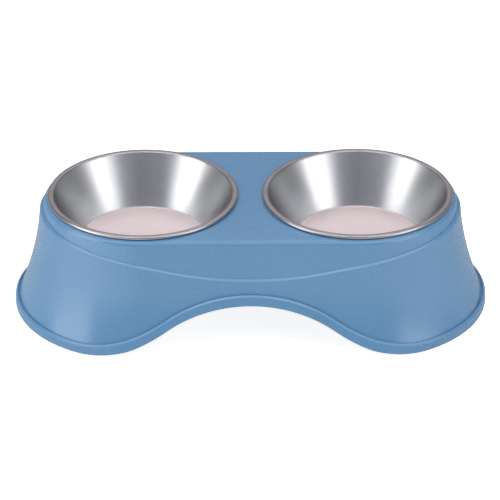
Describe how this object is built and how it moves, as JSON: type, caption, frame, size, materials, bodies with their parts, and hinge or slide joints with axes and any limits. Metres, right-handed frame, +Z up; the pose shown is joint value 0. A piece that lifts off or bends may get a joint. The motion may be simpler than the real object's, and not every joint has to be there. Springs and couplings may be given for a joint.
{
  "type": "double pet bowl",
  "caption": "Raised moulded feeding stand with flared walls, an arched front and back and a stepped ridge, holding lift-out steel bowls by their rolled rims.",
  "frame": {"origin": "on the floor under the middle of the stand", "axes": "+X runs from the left bowl to the right bowl, +Z is up, and the front faces -Y"},
  "size_m": [0.3748, 0.2048, 0.0949],
  "materials": {
    "blue_plastic": "fine satin texture, moulded polypropylene",
    "bowl_steel": "spun satin stainless steel, brushed in rings",
    "foot_rubber": "matt"
  },
  "bodies": {
    "stand": {"stand": "blue_plastic", "foot_front_left": "foot_rubber", "foot_front_right": "foot_rubber", "foot_rear_left": "foot_rubber", "foot_rear_right": "foot_rubber"},
    "left_bowl": {"left_bowl": "bowl_steel"},
    "right_bowl": {"right_bowl": "bowl_steel"}
  },
  "joints": [
    {"name": "left_bowl_lift", "type": "slide", "parent": "stand", "child": "left_bowl", "axis": [0, 0, 1], "range_m": [0, 0.06]},
    {"name": "right_bowl_lift", "type": "slide", "parent": "stand", "child": "right_bowl", "axis": [0, 0, 1], "range_m": [0, 0.06]}
  ]
}
